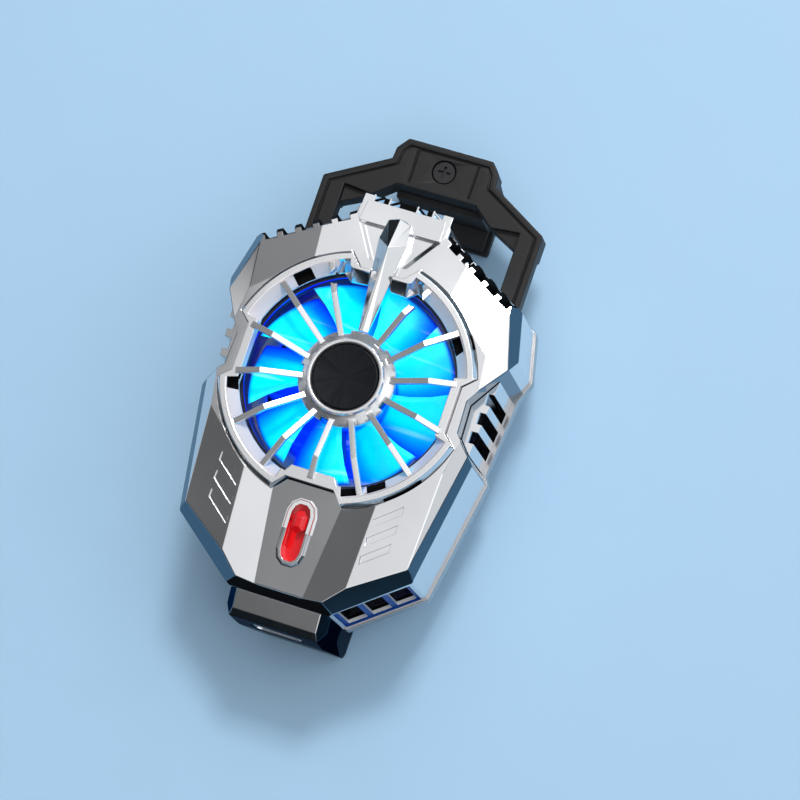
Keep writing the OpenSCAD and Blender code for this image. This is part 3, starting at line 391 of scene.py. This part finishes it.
def finishes():
    """Every finish by name."""
    f = finish()
    return {
        "silver": cloudy("silver_plate", f.silver, 0.15, metallic=1.0, shift=0.03, strength=0.04),
        "trim": cloudy("trim_plate", f.trim, 0.17, metallic=1.0, shift=0.03, strength=0.04),
        # Painted dark reflection on plated faces
        "dark_reflection": cloudy("dark_reflection_plate", f.dark_reflection, 0.16, metallic=1.0, shift=0.05),
        "strip": cloudy("strip_plate", scaled(f.silver, 0.55), 0.25, metallic=1.0, shift=0.05),
        "white": cloudy("white_gloss", (0.86, 0.87, 0.88), 0.22, shift=0.02, Coat_Weight=0.5),
        "glow": lit_by_height("lit_frame", 11.0, 20.4, FRAME_LINES),
        "satin": cloudy("satin_plate", f.trim, 0.28, metallic=0.8, shift=0.03),
        "pearl": cloudy("pearl_plate", f.pearl, 0.42, metallic=0.1, shift=0.02),
        "jaw_dark_reflection": cloudy("jaw_dark_reflection_plate", f.jaw_dark_reflection, 0.22, metallic=1.0, shift=0.1,
                        Specular_Tint=(0.10, 0.15, 0.22, 1)),
        # Painted highlight on the lit sills and near sides of the lower windows
        "sill": cloudy("window_sill_highlight", (0.90, 0.91, 0.92), 0.4, shift=0.02),
        # Painted blue reflection on the window posts
        "post": cloudy("window_post_reflection", f.post, 0.45, shift=0.08, Specular_IOR_Level=0.2),
        # Painted pale blue reflection on the floor under the crest's truss
        "pale_reflection": cloudy("pale_reflection_plate", (0.34, 0.58, 0.86), 0.35, metallic=0.3, shift=0.04),
        # Painted red glow, so that the switch's well shows no shade
        "red_glow_well": cloudy("red_glow_well", scaled(f.red, 0.8), 0.4, Emission_Color=(0.5, 0.01, 0.015, 1),
                           Emission_Strength=0.6),
        # Painted shade: black in slots, hollows, window backs and the crest's blocks, and on the crown's
        # teeth also a painted dark reflection
        "slot": cloudy("painted_shade_black", (0.002, 0.002, 0.0025), 0.80, Specular_IOR_Level=0.1),
        "black": cloudy("black_moulding", f.black, 0.50, shift=0.15, depth=0.04 * MM, strength=0.5,
                        Specular_IOR_Level=0.35),
        "spun": spun_disc_and_sheen(),
        "silicone": cloudy("silicone_lining", f.silicone, 0.70, depth=0.03 * MM),
        "red": cloudy("red_gloss", f.red, 0.18, Coat_Weight=0.6),
        "lit": lit_blades(),
        "rim": lit_by_height("lit_duct", 13.5, 19.9, DUCT_LINES),
        "sink": cloudy("sink_metal", (0.62, 0.66, 0.70), 0.35, metallic=1.0),
        "lit_sink": lit_sink(),
        "steel": cloudy("bright_steel", (0.66, 0.67, 0.69), 0.25, metallic=1.0),
        "dark_steel": cloudy("dark_steel", (0.05, 0.05, 0.055), 0.35, metallic=1.0),
        "screw": cloudy("screw_black", (0.035, 0.035, 0.037), 0.35, metallic=0.8),
        "bronze": cloudy("bronze", (0.60, 0.40, 0.14), 0.35, metallic=1.0),
        "copper": cloudy("copper_wire", (0.70, 0.30, 0.12), 0.30, metallic=1.0),
        "board": cloudy("board_green", (0.02, 0.16, 0.07), 0.40),
        "ceramic": cloudy("ceramic_white", (0.80, 0.80, 0.77), 0.55),
        "pad": cloudy("thermal_grey", (0.45, 0.47, 0.50), 0.75),
        # Painted shade in the hub's notches
        "notch_shade": cloudy("notch_shade_black", (0.012, 0.012, 0.014), 0.45),
    }


# Shapes

MERGE_WITHIN = 0.002 * MM
FLAT_WITHIN = math.radians(0.5)
SMOOTH_WITHIN = math.radians(35)
BEVEL_STEPS = 2
FACET_AREA = 8.0 * MM * MM


def only(obj):
    """Makes obj the one selected, active object."""
    bpy.ops.object.select_all(action="DESELECT")
    obj.select_set(True)
    bpy.context.view_layer.objects.active = obj


def keep_facets_flat(mesh):
    """Gives each large face its own normal at all its corners, so that it mirrors as one flat facet."""
    normals = [corner.vector.copy() for corner in mesh.corner_normals]
    for face in mesh.polygons:
        if face.area > FACET_AREA:
            for corner in face.loop_indices:
                normals[corner] = face.normal.copy()
    mesh.normals_split_custom_set(normals)


def rounded(node, edge, angle=4.6, weigh=None, merge=True):
    """A copy of a CAD node with its edges rounded, in place of the node.

    Edges that turn by more than the angle in degrees are rounded. Where weigh is given, it says from an
    edge's middle what share of the width that edge gets. Where merge is set, flat faces are joined first.
    """
    obj = bpy.data.objects.new("dressed_" + node, NODES[node].data.copy())
    bpy.context.scene.collection.objects.link(obj)
    obj.data.materials.clear()
    only(obj)
    bpy.ops.object.mode_set(mode="EDIT")
    bpy.ops.mesh.select_all(action="SELECT")
    bpy.ops.mesh.remove_doubles(threshold=MERGE_WITHIN)
    if merge:
        bpy.ops.mesh.dissolve_limited(angle_limit=FLAT_WITHIN)
    bpy.ops.mesh.select_all(action="DESELECT")
    bpy.ops.mesh.select_mode(type="EDGE")
    bpy.ops.mesh.edges_select_sharp(sharpness=math.radians(angle))
    bpy.ops.object.mode_set(mode="OBJECT")
    weights = obj.data.attributes.new("bevel_weight_edge", "FLOAT", "EDGE")
    for line in obj.data.edges:
        if line.select:
            ends = [obj.data.vertices[i].co for i in line.vertices]
            middle = (ends[0] + ends[1]) / (2 * MM)
            share = weigh(middle) if weigh else 1.0
            weights.data[line.index].value = share
            line.use_edge_sharp = share == 0
    bevel = obj.modifiers.new("edges", "BEVEL")
    bevel.limit_method = "WEIGHT"
    bevel.width = edge
    bevel.segments = BEVEL_STEPS
    bevel.use_clamp_overlap = False
    bpy.ops.object.modifier_apply(modifier=bevel.name)
    bpy.ops.object.shade_smooth_by_angle(angle=SMOOTH_WITHIN)
    flat = obj.modifiers.new("flat_faces", "WEIGHTED_NORMAL")
    flat.keep_sharp = True
    flat.weight = 100
    bpy.ops.object.modifier_apply(modifier=flat.name)
    keep_facets_flat(obj.data)
    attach(obj, BODY_OF[node])
    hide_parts(node)
    return obj


def paint(obj, material):
    obj.data.materials.clear()
    obj.data.materials.append(material)


def paint_where(obj, material, test):
    """Gives a further finish to the faces whose middle and normal pass a test, in millimetres."""
    obj.data.materials.append(material)
    last = len(obj.data.materials) - 1
    for face in obj.data.polygons:
        if test(face.center / MM, face.normal):
            face.material_index = last


OUTLINE = [Vector(p) for p in ((0, -38.2), (9, -38.2), (20.9, -28.9), (24.3, -7.4), (20.9, -3.5),
                               (20.65, 2.3), (25.2, 9.6), (26, 11.6), (24, 19.8), (8.4, 29), (7.8, 30.2),
                               (0, 30.2))]
COVER_Z = 18.0
GUARD_Z = 20.4
RING_R = 22.0
RING_TOP = 23.0


def depth_inside(place):
    """How far a place lies from the shell's outline in plan."""
    spot = Vector((abs(place.x), place.y))
    best = 1e9
    for a, b in zip(OUTLINE, OUTLINE[1:]):
        along = max(0.0, min(1.0, (spot - a).dot(b - a) / (b - a).length_squared))
        best = min(best, (spot - a - along * (b - a)).length)
    return best


def in_sector_box(place, turn, near, far, half):
    """Whether a place lies in a box set at an angle round the fan axis."""
    cos, sin = math.cos(math.radians(turn)), math.sin(math.radians(turn))
    return near < place.x * cos + place.y * sin < far and abs(place.y * cos - place.x * sin) < half


END_CORNER = Vector((9.0, -38.2))
LOWER_WALL = Vector((0.788, 0.616))
WINDOW_BACK = 0.94


def on_lower_wall(place):
    """How far a place lies along the lower diagonal wall, and how far behind it."""
    spot = Vector((abs(place.x), place.y)) - END_CORNER
    return spot.dot(LOWER_WALL), LOWER_WALL.cross(spot)


def in_window_frame(place):
    """Whether a place lies in the sunk frame round the lower windows."""
    along, behind = on_lower_wall(place)
    return 0.5 < along < 14.6 and abs(behind) < 4 and 3.6 < place.z < 16.65


def window_depth(place):
    return on_lower_wall(place)[1]


# Back of each lower window, painted black as shade
def window_back(place, normal):
    return in_window_frame(place) and window_depth(place) > WINDOW_BACK


def window_highlight_side(place, normal):
    """Sill and near side of each lower window, which get a painted highlight."""
    along = normal.x * math.copysign(LOWER_WALL.x, place.x) + normal.y * LOWER_WALL.y
    sunk = in_window_frame(place) and 0.45 < window_depth(place) < WINDOW_BACK
    return sunk and (normal.z > 0.6 or along > 0.6)


# Posts and frame of the lower windows, which get a painted blue reflection
def window_post_reflection(place, normal):
    return in_window_frame(place) and 0.02 < window_depth(place) <= WINDOW_BACK


def by_the_guard(place):
    return 21.4 < math.hypot(place.x, place.y) < 22.7 and place.z > GUARD_Z - 0.2


def by_sunk_bars(place):
    return 12 < abs(place.x) < 17 and -30 < place.y < -17


FINE = 0.35


def shell_edge_share(place):
    """Slots and some ridges of the shell have finer edges, the lower windows and the crown's ends sharp."""
    x, y = abs(place.x), place.y
    crown_start = 21.4 < x < 24.4 and 18.6 < y < 20.2 and place.z > COVER_Z + 1
    crown_end = 7.5 < x < 8.6 and 28.8 < y < 30.4
    if crown_start or crown_end:
        return 0.0
    along, behind = on_lower_wall(place)
    if 0.3 < along < 14.8 and abs(behind) < 4 and place.z < 17.6:
        return 0.0 if in_window_frame(place) else FINE
    pointer_seat = x < 3.4 and y > 17
    switch_seat = x < 3.2 and -35 < y < -20
    side_ridge = 20.2 < x < 22.8 and 5 < y < 18 and place.z > COVER_Z + 1
    panel_ridge = 4.0 < x < 6.6 and -37 < y < -22
    seat = pointer_seat or switch_seat or by_sunk_bars(place)
    return FINE if seat or side_ridge or panel_ridge or by_the_guard(place) else 1.0


def crest_edge_share(place):
    return FINE if place.y > 30.7 else 1.0


def shell_slot(place, normal):
    """Slots and hollows of the shell, painted black as shade."""
    deep = depth_inside(place)
    if by_sunk_bars(place) and place.z > COVER_Z:
        return False
    if place.z < COVER_Z - 0.3:
        return deep > 0.6 and not in_window_frame(place)
    return deep > 0.25 and abs(normal.z) < 0.4 and place.y > 17 and abs(place.x) > 7.6


def shell_dark_reflection_band(place, normal):
    """Sloped band under the face's edge, and the walls of the side notches, which get a painted dark
    reflection.
    """
    if abs(place.y) < 9.7 and abs(place.x) < 25.2 and abs(normal.z) < 0.6:
        return depth_inside(place) < 0.3
    return place.z > COVER_Z - 2.2 and 0.2 < normal.z < 0.93 and depth_inside(place) < 1.15


def crown_tooth(place, normal):
    """Sloped tops and sides of the teeth along the upper diagonal edges, painted black as shade and dark
    reflection.
    """
    if place.y < 17.5 or abs(place.x) < 8.2 or place.z < COVER_Z - 2.6:
        return False
    return -0.3 < normal.z < 0.85 and 0.05 < depth_inside(place) < 1.9


VENT_SLOTS = (4.15, 0.72, -2.71)


def vent_slot(place, normal):
    """Backs and floors of the slots in a side vent, painted black as shade."""
    on_top = normal.z > 0.5 and place.z > COVER_Z - 0.6
    faces_out = normal.x * math.copysign(1, place.x) > 0.9
    if on_top or faces_out:
        return False
    return any(abs(place.y - y) < 0.97 for y in VENT_SLOTS) and abs(place.x) < 24.2 + 0.1 * place.y


# Walls of the jaw, which get a painted dark reflection
def jaw_reflection_wall(place, normal):
    return normal.z < 0.75


RING_NOTCHES = (131, 197, 291, 304, 34)
HUB_NOTCHES = (60, 110, 185, 262, 342)
SPOKE_TURNS = [90 + i * 360 / 14 for i in range(1, 14)]


def guard_slot(place, normal):
    """Arc slots outside the guard's ring and notches inside it, painted black as shade."""
    level = place.z - GUARD_Z
    r = math.hypot(place.x, place.y)
    turn = math.degrees(math.atan2(place.y, abs(place.x)))
    in_arc = -54.2 < turn < -35.8 or 29.3 < turn < 36.2
    if in_arc and RING_R - 1.0 < r < RING_R - 0.05 and 0.45 < level < 2.03:
        return True
    notched = any(in_sector_box(place, a, 18.2, 20.15, 1.63) for a in RING_NOTCHES)
    return notched and 0.55 < level < 2.4


def ring_wall(place, normal):
    """Sloped inner wall of the guard's ring."""
    r = math.hypot(place.x, place.y)
    by_pointer = abs(place.x) < 7.6 and place.y > 14
    on_top = abs(place.z - RING_TOP) < 0.05 and normal.z > 0.98
    if by_pointer or on_top:
        return False
    return 17.0 < r < 20.45 and place.z < GUARD_Z + 2.58 and -0.2 < normal.z < 0.9


def hub_skirt(place, normal):
    return math.hypot(place.x, place.y) < 8.6


def foot_wall(place, normal):
    """Front wall of the bracket at the guard's foot, which gets a painted dark reflection."""
    return place.y < -18.2 and abs(place.x) < 6.6 and abs(normal.z) < 0.5 and normal.y < -0.3


CREST_LOW = Vector((0.0, 18.1, 21.8))
CREST_UP = Vector((0.0, 0.16, 1.0)).normalized()
CREST_FINS = (-6.25, -3.45, 1.5, 4.35)


def crest_block(place, normal):
    """Blocks and braces at the crest's end, painted black as shade."""
    return place.y > 30.85 and (place - CREST_LOW).dot(CREST_UP) < 0.47


# Floor under the crest's truss, which gets a painted pale blue reflection
def crest_floor(place, normal):
    return place.y > 30.7 and 0.1 < (place - CREST_LOW).dot(CREST_UP) < 0.2 and normal.z > 0.8


# Fins of the crest's truss, painted white as highlight
def crest_fin_highlight(place, normal):
    return place.y > 30.85 and any(-0.03 < place.x - x < 0.28 for x in CREST_FINS) and normal.z > -0.5


# Faces of the hub's notches, painted black as shade
def hub_notch(place, normal):
    if place.z - GUARD_Z > 2.02:
        return False
    return any(in_sector_box(place, turn, 7.55, 8.25, 0.95) for turn in HUB_NOTCHES)


SWITCH = Vector((0.0, -26.95, 19.952))
PANEL_TILT = math.atan(0.127)


def collar_groove(place, normal):
    """Floor of the groove between the switch's rim and its upper collar."""
    rise = (place - SWITCH).dot(Vector((0, -math.sin(PANEL_TILT), math.cos(PANEL_TILT))))
    return place.y > SWITCH.y + 0.3 and normal.z > 0.9 and 0.1 < rise < 0.2


def collar_top(place, normal):
    return place.y > SWITCH.y + 0.25 and normal.z > 0.5


def spoke_face(place, normal):
    r = math.hypot(place.x, place.y)
    on_spoke = any(in_sector_box(place, turn, 7.0, 21.0, 0.62) for turn in SPOKE_TURNS)
    return on_spoke and 7.0 < r < 20.0 and place.z > GUARD_Z + 1.0


MADE = {}


def material(name):
    if not MADE:
        MADE.update(finishes())
    return MADE[name]


def paint_faces(obj, pairs):
    """Gives further finishes to the faces that pass each test, the later ones over the earlier."""
    for name, test in pairs:
        paint_where(obj, material(name), test)


def paint_nodes(pairs):
    """Finishes CAD nodes that stay as they are."""
    for node, name in pairs:
        paint(NODES[node], material(name))


class CoolerOperator:
    """Options that all the steps share."""
    bl_options = {"REGISTER", "UNDO"}


class COOLER_OT_shell(CoolerOperator, bpy.types.Operator):
    """Rounds and plates the shell, its side vents, the fixed jaw and the rear plate."""
    bl_idname = "cooler.shell"
    bl_label = "Shell"

    def execute(self, context):
        shell = rounded("top_shell", sizes().shell_edge, weigh=shell_edge_share)
        paint(shell, material("silver"))
        # Painted dark reflection on the sloped band, painted shade in the crown's teeth, slots and window
        # backs, painted blue reflection on the window posts and painted highlight on the sills
        paint_faces(shell, (("dark_reflection", shell_dark_reflection_band), ("slot", crown_tooth), ("slot", shell_slot),
                            ("post", window_post_reflection), ("sill", window_highlight_side), ("slot", window_back)))
        jaw = rounded("lower_jaw", sizes().trim_edge)
        paint(jaw, material("silver"))
        # Painted dark reflection on the jaw's walls
        paint_where(jaw, material("jaw_dark_reflection"), jaw_reflection_wall)
        for node in ("side_vent_left", "side_vent_right"):
            vent = rounded(node, sizes().small_edge)
            paint(vent, material("silver"))
            # Painted shade in the vent's slots
            paint_where(vent, material("slot"), vent_slot)
        paint(rounded("rear_plate", sizes().trim_edge), material("strip"))
        return {"FINISHED"}


class COOLER_OT_guard(CoolerOperator, bpy.types.Operator):
    """Rounds and plates the guard, the pointer, the crest and the hub's disc."""
    bl_idname = "cooler.guard"
    bl_label = "Guard"

    def execute(self, context):
        guard = rounded("fan_guard", sizes().trim_edge, angle=7.0)
        paint(guard, material("trim"))
        paint_faces(guard, (("pearl", ring_wall), ("satin", hub_skirt), ("satin", spoke_face),
                            # Painted shade in the slots and the hub's notches, painted dark reflection on
                            # the foot's wall
                            ("slot", guard_slot), ("notch_shade", hub_notch), ("dark_reflection", foot_wall)))
        paint(rounded("pointer_blade", sizes().small_edge), material("trim"))
        crest = rounded("crest_plate", sizes().small_edge, weigh=crest_edge_share)
        paint(crest, material("silver"))
        # Painted shade on the crest's blocks, painted pale blue reflection on its floor and painted
        # highlight on its fins
        paint_faces(crest, (("slot", crest_block), ("pale_reflection", crest_floor), ("white", crest_fin_highlight)))
        # The hub's disc gets painted streaks of reflection
        paint(rounded("hub_cap", sizes().small_edge, angle=8.0), material("spun"))
        return {"FINISHED"}


class COOLER_OT_fan(CoolerOperator, bpy.types.Operator):
    """Finishes the lit fan, its duct and its motor."""
    bl_idname = "cooler.fan"
    bl_label = "Fan"

    def execute(self, context):
        # Painted glow on the blades, the duct, the fan frame, the LED board and the heat sink
        paint_nodes((("fan_impeller", "lit"), ("light_guide", "rim"), ("fan_frame", "glow"),
                     ("led_board", "lit_sink"), ("frame_screws", "dark_steel"),
                     ("stator_core", "dark_steel"), ("stator_coils", "copper"),
                     ("bearing_sleeve", "bronze"), ("magnet_ring", "dark_steel"),
                     ("rotor_shaft", "steel")))
        return {"FINISHED"}


class COOLER_OT_switch(CoolerOperator, bpy.types.Operator):
    """Rounds and finishes the slide switch, the charging socket and their board."""
    bl_idname = "cooler.switch"
    bl_label = "Switch"

    def execute(self, context):
        bezel = rounded("switch_bezel", sizes().small_edge)
        paint(bezel, material("trim"))
        paint_faces(bezel, (("white", collar_top), ("red", collar_groove)))
        for node, name in (("switch_knob", "red"), ("switch_tray", "red"), ("usb_socket", "steel")):
            paint(rounded(node, sizes().small_edge), material(name))
        # The switch's body gets a painted red glow
        paint_nodes((("switch_body", "red_glow_well"), ("control_board", "board")))
        return {"FINISHED"}


class COOLER_OT_clamp(CoolerOperator, bpy.types.Operator):
    """Rounds and finishes the sliding clamp and the linings of both jaws."""
    bl_idname = "cooler.clamp"
    bl_label = "Clamp"

    def execute(self, context):
        for node in ("clamp_frame", "clamp_hook"):
            paint(rounded(node, sizes().frame_edge, merge=False), material("black"))
        for node in ("clamp_pad", "lower_jaw_pad"):
            paint(rounded(node, sizes().trim_edge), material("silicone"))
        paint_nodes((("clamp_screw", "screw"), ("clamp_spring_left", "steel"),
                     ("clamp_spring_right", "steel")))
        return {"FINISHED"}


class COOLER_OT_stack(CoolerOperator, bpy.types.Operator):
    """Finishes the cooling stack and the screws underneath."""
    bl_idname = "cooler.stack"
    bl_label = "Cooling stack"

    def execute(self, context):
        paint_nodes((("thermal_pad", "pad"), ("cold_plate", "sink"), ("peltier_module", "ceramic"),
                     # Painted blue glow on the heat sink
                     ("heat_sink", "lit_sink"), ("case_screws", "dark_steel")))
        return {"FINISHED"}


FLOOR_SIZE = 6.0
LAMP_AIM = Vector((0.0, 0.0, 0.02))
# Brightness of the sky by how far a direction leans along the slant
SKY_SLANT = (1.0, 0.37, 0.0)
SKY_BANDS = ((-0.60, 0.15), (-0.51, 0.11), (-0.42, 0.15), (-0.32, 0.25), (-0.28, 0.27), (-0.23, 0.20),
             (-0.20, 0.32), (-0.17, 0.98), (-0.12, 0.92), (-0.06, 0.70), (-0.02, 0.78), (0.05, 0.92),
             (0.15, 1.15), (0.8, 1.2))
# Share of that brightness by height over the horizon
SKY_RISE = ((0.45, (0.03, 0.05, 0.065)), (0.72, (1, 1, 1)))


class COOLER_OT_stage(CoolerOperator, bpy.types.Operator):
    """Lays the floor, hangs the softboxes, makes the sky and stands the camera."""
    bl_idname = "cooler.stage"
    bl_label = "Stage"

    def execute(self, context):
        self.floor()
        self.lights()
        self.sky()
        self.camera()
        return {"FINISHED"}

    def floor(self):
        bpy.ops.object.select_all(action="DESELECT")
        bpy.ops.mesh.primitive_plane_add(size=FLOOR_SIZE, location=(0, 0, CAD_LOW.z))
        plane = bpy.context.active_object
        plane.name = "studio_floor"
        paint(plane, cloudy("floor_paper", finish().floor, 0.6, shift=0.01))

    def softbox(self, name, place, width, tall, power):
        bpy.ops.object.light_add(type="AREA", location=place)
        lamp = bpy.context.active_object
        lamp.name = name
        lamp.data.shape = "RECTANGLE"
        lamp.data.size = width
        lamp.data.size_y = tall
        lamp.data.energy = power
        lamp.visible_camera = False
        lamp.rotation_euler = (LAMP_AIM - Vector(place)).to_track_quat("-Z", "Y").to_euler()

    def lights(self):
        """A key behind the crest and a panel on each side."""
        self.softbox("key", (0.08, 0.46, 0.80), 0.16, 0.16, studio().key_power)
        self.softbox("left_panel", (-0.90, 0.03, 0.23), 0.46, 0.28, 0.30)
        self.softbox("right_panel", (0.90, 0.20, 0.50), 0.80, 0.60, 1.1)

    def sky(self):
        """A sky that is bright overhead and dark to the left and low down."""
        world = bpy.data.worlds.new("studio_sky")
        bpy.context.scene.world = world
        world.use_nodes = True
        nodes, links = world.node_tree.nodes, world.node_tree.links
        place = nodes.new("ShaderNodeTexCoord")
        slant = nodes.new("ShaderNodeVectorMath")
        slant.operation = "DOT_PRODUCT"
        slant.inputs[1].default_value = SKY_SLANT
        links.new(place.outputs["Generated"], slant.inputs[0])
        split = nodes.new("ShaderNodeSeparateXYZ")
        links.new(place.outputs["Generated"], split.inputs["Vector"])
        shift = nodes.new("ShaderNodeMapRange")
        shift.inputs["From Min"].default_value = -1.0
        shift.inputs["From Max"].default_value = 1.0
        links.new(slant.outputs["Value"], shift.inputs["Value"])
        bands = nodes.new("ShaderNodeValToRGB")
        fill_ramp(bands, [((at + 1) / 2, (tone, tone * 1.005, tone * 1.02)) for at, tone in SKY_BANDS])
        links.new(shift.outputs["Result"], bands.inputs["Fac"])
        rise = nodes.new("ShaderNodeValToRGB")
        fill_ramp(rise, SKY_RISE)
        links.new(split.outputs["Z"], rise.inputs["Fac"])
        mixed = nodes.new("ShaderNodeMix")
        mixed.data_type = "RGBA"
        mixed.blend_type = "MULTIPLY"
        mixed.inputs["Factor"].default_value = 1.0
        links.new(bands.outputs["Color"], mixed.inputs["A"])
        links.new(rise.outputs["Color"], mixed.inputs["B"])
        links.new(mixed.outputs["Result"], nodes["Background"].inputs["Color"])
        nodes["Background"].inputs["Strength"].default_value = studio().sky
        bpy.context.scene.view_settings.view_transform = "Standard"

    def camera(self):
        bpy.ops.object.camera_add(location=studio().camera_place, rotation=studio().camera_turn)
        camera = bpy.context.active_object
        camera.data.sensor_width = 36.0
        camera.data.lens = studio().lens
        camera.data.clip_start = 0.01
        bpy.context.scene.camera = camera


class COOLER_PT_sidebar(bpy.types.Panel):
    """Lists the steps of the dressing and their values."""
    bl_idname = "COOLER_PT_sidebar"
    bl_label = "Cooling Fan"
    bl_space_type = "VIEW_3D"
    bl_region_type = "UI"
    bl_category = "Cooler"

    def draw(self, context):
        for operator in OPERATORS:
            self.layout.operator(operator.bl_idname)
        for group in (finish(), sizes(), studio()):
            for key in group.bl_rna.properties.keys():
                if key not in ("rna_type", "name"):
                    self.layout.prop(group, key)


OPERATORS = (COOLER_OT_shell, COOLER_OT_guard, COOLER_OT_fan, COOLER_OT_switch, COOLER_OT_clamp,
             COOLER_OT_stack, COOLER_OT_stage)
CLASSES = (CoolerFinish, CoolerSizes, CoolerStudio, *OPERATORS, COOLER_PT_sidebar)


def register():
    for cls in CLASSES:
        bpy.utils.register_class(cls)
    bpy.types.Scene.cooler_finish = bpy.props.PointerProperty(type=CoolerFinish)
    bpy.types.Scene.cooler_sizes = bpy.props.PointerProperty(type=CoolerSizes)
    bpy.types.Scene.cooler_studio = bpy.props.PointerProperty(type=CoolerStudio)


def unregister():
    for name in ("cooler_finish", "cooler_sizes", "cooler_studio"):
        delattr(bpy.types.Scene, name)
    for cls in reversed(CLASSES):
        bpy.utils.unregister_class(cls)


def main():
    register()
    for operator in OPERATORS:
        getattr(bpy.ops.cooler, operator.bl_idname.split(".")[1])()


if __name__ == "__main__":
    main()
